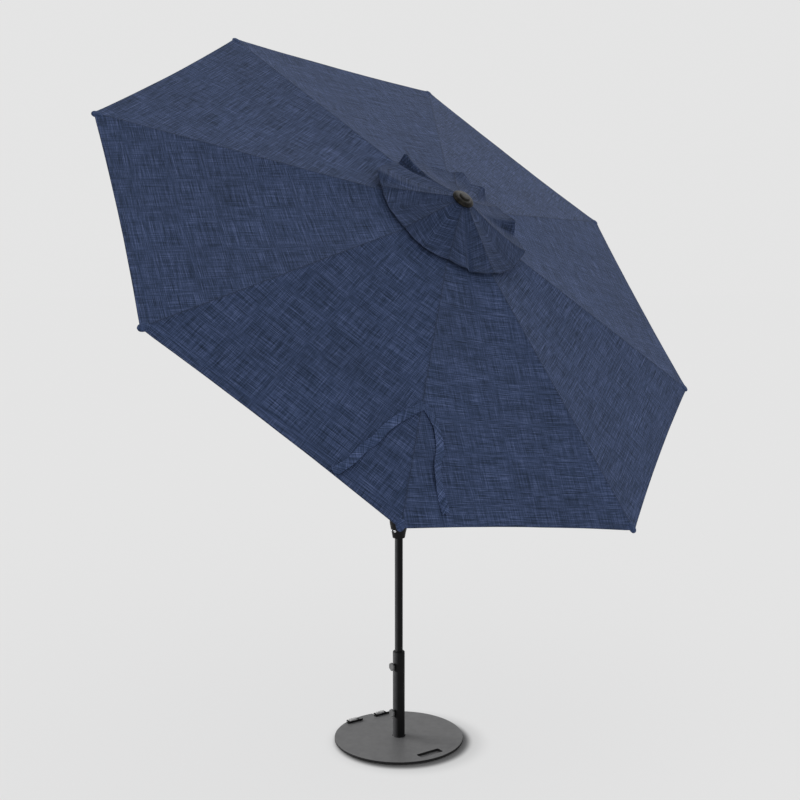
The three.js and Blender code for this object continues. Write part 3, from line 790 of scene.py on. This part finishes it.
def cap_panel(index):
    """The vent cap's fabric over one rib, held at the crown and free along its outer edge."""
    ts = [0.0, 0.02, 0.05, 0.09] + [0.09 + 0.83 * k / 18 for k in range(1, 19)] + [0.935, 0.955, 0.985, 1.0]
    points, thickness, weave, edges = [], [], [], []
    evenly = [0.11 + 0.87 * k / 12 for k in range(1, 13)]
    shares = both_sides([0.0, 0.02, 0.045, 0.075, 0.11] + evenly + [1.0])
    for t in ts:
        line, thick, cloth_uv, edge_uv = [], [], [], []
        for share in shares:
            point, distance = cap_point(index, t, share)
            from_hem = (1 - t) * CAP_LENGTH
            hem = max(0.0, min(1.0, (CAP_HEM_WIDTH - from_hem) / 0.004 + 1))
            line.append(SPOKES[index] @ point)
            thick.append(FABRIC_THICK + (CAP_HEM_THICK - FABRIC_THICK) * hem)
            reach = distance * math.cos(share * HALF_STEP) / math.cos(HALF_STEP)
            cloth_uv.append(weave_at(index, reach, share, PANEL_SLOPE))
            edge_uv.append(((point.y, from_hem),) * 2)
        points.append(line)
        thickness.append(thick)
        weave.append(cloth_uv)
        edges.append(edge_uv)
    layers = {"weave": weave, "edges": edges}
    panel = cloth(f"vent_cap_panel_{index}", points, thickness, layers, CAP, None, "canopy_fabric")
    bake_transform(panel)
    return panel


def panel_height(distance, degrees):
    """The canopy's upper face beside the first rib, in its spoke frame."""
    angle = math.radians(degrees)
    side = 1 if degrees >= 0 else -1
    x = distance * math.cos(angle)
    y = distance * math.sin(angle)
    reach = x + abs(y) * math.tan(HALF_STEP)
    share = side * abs(y) / (reach * math.sin(HALF_STEP) * math.cos(HALF_STEP))
    t = (reach - INNER_REACH) / (OUTER_REACH - HEM_BOW * eased(abs(share)) - INNER_REACH)
    return canopy_point(0, t, share)[0].z


def along_route(route, count):
    """Evenly eased points on a smooth line through the route's own points."""
    spots = [Vector((d * math.cos(math.radians(a)), d * math.sin(math.radians(a)))) for d, a in route]
    made = []
    for k in range(count):
        s = k / (count - 1) * (len(spots) - 1)
        i = min(int(s), len(spots) - 2)
        t = s - i
        p0, p1, p2, p3 = (spots[max(0, min(len(spots) - 1, i + d))] for d in (-1, 0, 1, 2))
        made.append(0.5 * ((2 * p1) + (p2 - p0) * t + (2 * p0 - 5 * p1 + 4 * p2 - p3) * t * t
                           + (3 * p1 - p0 - 3 * p2 + p3) * t ** 3))
    return made


def tie_strap(name, route):
    """A doubled strip of the canopy's fabric, sewn down at its upper end and lying loose in waves."""
    line = along_route(route, 44)
    offsets = [-1.0, -0.86, -0.5, 0.0, 0.5, 0.86, 1.0]
    points, thickness, weave = [], [], []
    run = 0.0
    for k, spot in enumerate(line):
        ahead = line[min(k + 1, len(line) - 1)] - line[max(k - 1, 0)]
        direction = ahead.normalized()
        across = Vector((-direction.y, direction.x))
        run += (spot - line[k - 1]).length if k else 0.0
        loose = min(1.0, run / 0.10)
        row, thick, uv = [], [], []
        for offset in offsets:
            place = spot + across * offset * STRAP_HALF_WIDTH
            distance = place.length
            degrees = math.degrees(math.atan2(place.y, place.x))
            lift = 0.0030 + loose * (0.0035 + 0.0030 * math.sin(run * 31 + 1.3 * offset))
            curl = 0.0014 * loose * offset * math.sin(run * 19)
            z = panel_height(distance, degrees) + lift + curl
            row.append(SPOKES[0] @ Vector((place.x, place.y, z)))
            thick.append(0.0018 if abs(offset) < 0.9 else 0.0009)
            uv.append(((offset * STRAP_HALF_WIDTH, run),) * 2)
        points.append(row)
        thickness.append(thick)
        weave.append(uv)
    strap = cloth(f"tie_strap_{name}_cloth", points, thickness, {"weave": weave}, STRAP, "rib_0",
                  "canopy_fabric")
    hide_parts(f"tie_strap_{name}")
    fold_with_rib(strap)


def tip_pocket(index):
    """The sewn pocket at a gore corner, round the rib's end, with the rib's plug showing under the hem."""
    place = SPOKES[index]
    reach = reach_along(CANOPY_REACH - 0.017)
    middle = Vector((reach, 0, ridge(reach) - 0.0050))
    work = bmesh.new()
    bmesh.ops.create_uvsphere(work, u_segments=28, v_segments=16, radius=1)
    for v in work.verts:
        squared = Vector([math.copysign(abs(c) ** 0.72, c) for c in v.co])
        narrow = 1 - 0.25 * max(0.0, squared.x)
        v.co = Vector((squared.x * 0.025, squared.y * 0.0185 * narrow, squared.z * 0.0090))
    mesh = bpy.data.meshes.new(f"tip_pocket_{index}")
    work.to_mesh(mesh)
    work.free()
    tip_tilt = Matrix.Rotation(RIB_SLOPE, 4, "Y")
    uv = mesh.uv_layers.new(name="weave")
    spots = [mesh.vertices[loop.vertex_index].co for loop in mesh.loops]
    uv.data.foreach_set("uv", [c for spot in spots for c in (spot.x, spot.y)])
    smooth(mesh, 60)
    pocket = object_of(f"tip_pocket_{index}", mesh, STRAP, f"rib_{index}", "canopy_fabric",
                       place @ Matrix.Translation(middle) @ tip_tilt)
    plug_place = place @ Matrix.Translation(Vector((PIVOT_RADIUS, 0, 0))) @ tip_tilt
    plug_place = plug_place @ Matrix.Translation(Vector((RIB_LENGTH - 0.040, 0, -0.0035)))
    block(f"rib_plug_{index}", (0.020, 0.0136, 0.0125), GREY_PLASTIC, f"rib_{index}", "black_plastic",
          plug_place, 0.002)
    return pocket


def crown_tape(index):
    """Webbing under the fabric, from the rib's root to just past the vent opening's edge."""
    points, thickness, weave = [], [], []
    sides = (-0.010, -0.005, 0, 0.005, 0.010)
    for k in range(25):
        along = TAPE_START + (VENT_OPENING + TAPE_PAST_VENT - TAPE_START) * k / 24
        reach = reach_along(along, TAPE_TOP)
        points.append([SPOKES[index] @ Vector((reach, y, ridge(reach, TAPE_TOP))) for y in sides])
        thickness.append([TAPE_THICK] * len(sides))
        weave.append([((y, along),) * 2 for y in sides])
    tape = cloth(f"crown_tape_{index}", points, thickness, {"weave": weave}, STRAP, f"rib_{index}",
                 "canopy_fabric")


# ---- crown ----
def make_finial():
    low = CAP_CROWN + 0.0004
    profile = [
        (0.0054, low), (0.0425, low), (0.0445, low + 0.0008), (0.0450, low + 0.0022), (0.0449, low + 0.0042),
        (0.0438, low + 0.0056), (0.0420, low + 0.0062), (0.0408, low + 0.0072), (0.0395, low + 0.0098),
        (0.0360, low + 0.0122), (0.0315, low + 0.0140), (0.0262, low + 0.0150), (0.0232, low + 0.0153),
        (0.0222, low + 0.0160), (0.0216, low + 0.0182), (0.0200, low + 0.0202), (0.0165, low + 0.0214),
        (0.0105, low + 0.0221), (0.0, low + 0.0222),
    ]
    pivots = columns(HEAD.to_3x3().col[0], HEAD.to_3x3().col[1], UP_POLE, SPOKES[0].translation)
    profile = [(radius * FINIAL_SPREAD, height) for radius, height in profile]
    finial = lathe("finial_dome", profile, BRONZE, "head", "bronze", pivots, 96)
    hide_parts("finial")


# ---- poles and base ----
def tube_outline(outer, inner, bottom, top):
    return rounded([(inner, bottom), (outer, bottom), (outer, top), (inner, top)], 0.0006)


def make_poles():
    low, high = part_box("lower_pole")
    lower_outline = tube_outline(POLE_RADIUS, POLE_RADIUS - POLE_WALL, low.z, high.z)
    lower = lathe("lower_pole_tube", lower_outline, BLACK, "mast", "satin_black", MAST, 72)
    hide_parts("lower_pole")
    bottom = 0.0703
    top = 0.497
    upper = lathe("upper_pole_tube", tube_outline(POLE_RADIUS, POLE_RADIUS - POLE_WALL, bottom, top), BLACK,
                  "head", "satin_black", HEAD, 72)
    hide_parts("upper_pole")
    socket_outline = tube_outline(SOCKET_RADIUS, SOCKET_BORE, PLATE_TOP + 0.0003, SOCKET_TOP)
    socket = lathe("socket_tube_turned", socket_outline, BLACK, "base", "satin_black", None, 96)
    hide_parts("socket_tube")
    sleeve = [
        (0.0193, SOCKET_TOP - 0.035), (0.0193, SOCKET_TOP + 0.0055), (0.0222, SOCKET_TOP + 0.0053),
        (0.0262, SOCKET_TOP + 0.0032), (0.0279, SOCKET_TOP + 0.0010), (0.0279, SOCKET_TOP + 0.0003),
        (0.0257, SOCKET_TOP + 0.0003), (0.0257, SOCKET_TOP - 0.035), (0.0193, SOCKET_TOP - 0.035),
    ]
    collar = lathe("socket_collar", sleeve, PLASTIC, "base", "black_plastic", None, 72)
    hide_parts("socket_sleeve_top")
    bead = [
        (0.0287, PLATE_TOP + 0.0004), (0.0318, PLATE_TOP + 0.0004), (0.0316, PLATE_TOP + 0.0010),
        (0.0306, PLATE_TOP + 0.0022), (0.0296, PLATE_TOP + 0.0029), (0.0287, PLATE_TOP + 0.0031),
        (0.0287, PLATE_TOP + 0.0004),
    ]

    def rippled(angle, radius, height):
        return radius + (0.0004 * math.sin(angle * 46) if radius > 0.029 else 0)

    weld = lathe("weld_ripples", bead, BLACK, "base", "satin_black", None, 180, rippled)
    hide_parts("weld_bead")


def along_minus_x(x, z):
    return Matrix.Translation(Vector((x, 0, z))) @ Matrix.Rotation(-math.pi / 2, 4, "Y")


def knob(name, height):
    """A fluted clamp knob on its threaded stem, screwed into the socket tube's boss."""
    def fluted(angle, radius, z):
        if radius < 0.0165:
            return radius
        return radius - 0.0020 * (0.5 - 0.5 * math.cos(6 * angle)) ** 1.5

    profile = rounded([
        (0.0, 0.0000), (0.0100, 0.0000), (0.0170, 0.0008), (0.0198, 0.0022), (0.0200, 0.0066),
        (0.0186, 0.0086), (0.0140, 0.0094), (0.0118, 0.0088), (0.0, 0.0088),
    ], 0.0009)[:-1]
    head = lathe(f"knob_grip_{name}", profile, KNOB_PLASTIC, f"knob_{name}", "black_plastic",
                 along_minus_x(-0.0363, height), 96, fluted)
    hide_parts(f"knob_head_{name}")


def roller(side, x):
    """A solid rubber roller with two grooves round it."""
    outline = [(0.0034, -0.0250), (0.0095, -0.0250), (0.0110, -0.0245), (0.0118, -0.0235)]
    for centre in (-0.012, 0.0, 0.012):
        outline += [(0.0120, centre - 0.0022), (0.0111, centre - 0.0012), (0.0111, centre + 0.0012),
                    (0.0120, centre + 0.0022)]
    outline += [(0.0118, 0.0235), (0.0110, 0.0245), (0.0095, 0.0250), (0.0034, 0.0250), (0.0034, -0.0250)]
    place = Matrix.Translation(Vector((x, 0.290, 0.0135))) @ Matrix.Rotation(math.pi / 2, 4, "Y")
    wheel = lathe(f"roller_tyre_{side}", outline, PALE_RUBBER, f"roller_{side}", "rubber", place, 64)
    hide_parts(f"roller_{side}")


# ---- crank housing ----
def make_housing():
    at = 0.985
    outline = [
        (0.0195, at), (0.0283, at), (0.0293, at + 0.0010), (0.0308, at + 0.0100), (0.0330, at + 0.0230),
        (0.0378, at + 0.0430), (0.0427, at + 0.0700), (0.0450, at + 0.1000), (0.0453, at + 0.1220),
        (0.0450, at + 0.1450), (0.0432, at + 0.1620), (0.0402, at + 0.1780), (0.0352, at + 0.1930),
        (0.0292, at + 0.2050), (0.0262, at + 0.2065), (0.0195, at + 0.2070), (0.0195, at),
    ]

    def split(angle, radius, height):
        """The two shells' joint line, front and back."""
        beside = abs(math.sin(angle)) * radius
        return radius - 0.0007 * math.exp(-(beside / 0.0009) ** 2)

    shell = lathe("crank_housing_shell", outline, PLASTIC, "mast", "black_plastic", MAST, 360, split)
    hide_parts("crank_housing_front", "crank_housing_back")


# ---- stage ----
def shade_on_floor(material, place, centre, inner, outer, darkest):
    """A round soft painted shadow: darkest inside the inner radius, none past the outer one."""
    away = node(material, "ShaderNodeVectorMath", operation="DISTANCE")
    link(material, place, away.inputs[0])
    away.inputs[1].default_value = centre
    made = node(material, "ShaderNodeMapRange", interpolation_type="SMOOTHERSTEP")
    for name, number in (("From Min", inner), ("From Max", outer), ("To Min", darkest), ("To Max", 1.0)):
        made.inputs[name].default_value = number
    link(material, away.outputs["Value"], made.inputs["Value"])
    return made.outputs["Result"]


def make_stage():
    """A pale floor with a painted glow of its own, so the canopy's shade stays faint; painted shadow dims the glow
    under and beside the plate.
    """
    backdrop = 0.780  # linear grey of the world behind the floor
    glow = 0.622
    size = 400
    floor_mesh = bpy.data.meshes.new("floor")
    floor_mesh.from_pydata([(-size, -size, 0), (size, -size, 0), (size, size, 0), (-size, size, 0)], [],
                           [(0, 1, 2, 3)])
    floor = bpy.data.objects.new("floor", floor_mesh)
    bpy.context.scene.collection.objects.link(floor)
    floor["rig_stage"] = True
    material, shader = new_material("floor_paint", (0.2, 0.2, 0.2), 1.0, 0.0, 0.0)
    place = object_coordinates(material)
    # painted shadow on the floor: a dark one under the plate reaching to its front, and a wide soft one to its
    # front right
    under = shade_on_floor(material, place, (0.002, -0.028, 0), 0.294, 0.346, 0.04)
    beside = shade_on_floor(material, place, (0.020, -0.050, 0), 0.270, 0.420, 0.74)
    shader.inputs["Emission Color"].default_value = (1, 1, 1, 1)
    shaded = math_of(material, "MULTIPLY", under, beside)
    link(material, math_of(material, "MULTIPLY", shaded, glow), shader.inputs["Emission Strength"])
    floor_mesh.materials.append(material)
    world = bpy.data.worlds.new("studio")
    bpy.context.scene.world = world
    world.use_nodes = True
    background = world.node_tree.nodes["Background"]
    background.inputs["Color"].default_value = (backdrop,) * 3 + (1,)
    background.inputs["Strength"].default_value = 1.0


def sun(name, toward, strength, spread, receivers):
    """A lamp that shines along -toward, on the receivers only."""
    data = bpy.data.lights.new(name, "SUN")
    data.energy = strength
    data.angle = math.radians(spread)
    lamp = bpy.data.objects.new(name, data)
    bpy.context.scene.collection.objects.link(lamp)
    lamp.rotation_mode = "QUATERNION"
    lamp.rotation_quaternion = Vector(toward).to_track_quat("Z", "Y")
    lamp.light_linking.receiver_collection = receivers


def collection_of(name, objects):
    made = bpy.data.collections.new(name)
    for o in objects:
        made.objects.link(o)
    return made


def make_lights():
    cloth_pieces = [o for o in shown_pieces() if o.get("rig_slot") in ("canopy_fabric", "bronze")]
    hard_pieces = [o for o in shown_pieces() if o not in cloth_pieces]
    right = Vector((0.8192, -0.5736, 0))
    away = Vector((0.5736, 0.8192, 0))
    up = Vector((0, 0, 1))
    sun("canopy_key", right * 0.42 + away * 0.42 + up * 0.80, 1.05, 45,
        collection_of("lit_by_canopy_key", cloth_pieces))
    black_pieces = [o for o in hard_pieces if o.get("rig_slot") == "satin_black"]
    sun("frame_key", -right * 0.90 + away * 0.35 + up * 0.40, 2.6, 35,
        collection_of("lit_by_frame_key", hard_pieces))
    sun("pole_key", -right * 0.95 + away * 0.12 + up * 0.20, 16.0, 12,
        collection_of("lit_by_pole_key", black_pieces))


def make_camera():
    """The photograph's viewpoint: level with the tilt hinge, 5.2 m away, looking slightly down."""
    data = bpy.data.cameras.new("camera")
    data.sensor_width = 36.0
    data.lens = 49.91
    data.clip_start = 0.05
    data.clip_end = 2000
    camera = bpy.data.objects.new("camera", data)
    bpy.context.scene.collection.objects.link(camera)
    camera.location = (-2.9594, -4.2315, 2.1495)
    away = Vector((0.5736, 0.8192, 0))
    pitch = math.radians(5.64)
    direction = away * math.cos(pitch) - Vector((0, 0, 1)) * math.sin(pitch)
    camera.rotation_mode = "QUATERNION"
    camera.rotation_quaternion = direction.to_track_quat("-Z", "Y")
    data.shift_x = 0.00075
    bpy.context.scene.camera = camera
    bpy.context.scene.view_settings.view_transform = "Standard"


# ---- the whole scene ----
make_camera()
finish_cad_nodes()
panels = [canopy_panel(i) for i in range(RIB_COUNT)]
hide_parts("canopy")
caps = [cap_panel(i) for i in range(RIB_COUNT)]
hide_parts("vent_cap")
for side_name, strap_route in STRAP_ROUTES.items():
    tie_strap(side_name, strap_route)
for rib_index in range(RIB_COUNT):
    crown_tape(rib_index)
make_finial()
make_poles()
for knob_name, knob_height in KNOB_HEIGHTS.items():
    knob(knob_name, knob_height)
for roller_side, roller_x in ROLLER_PLACES.items():
    roller(roller_side, roller_x)
make_housing()
make_stage()
make_lights()
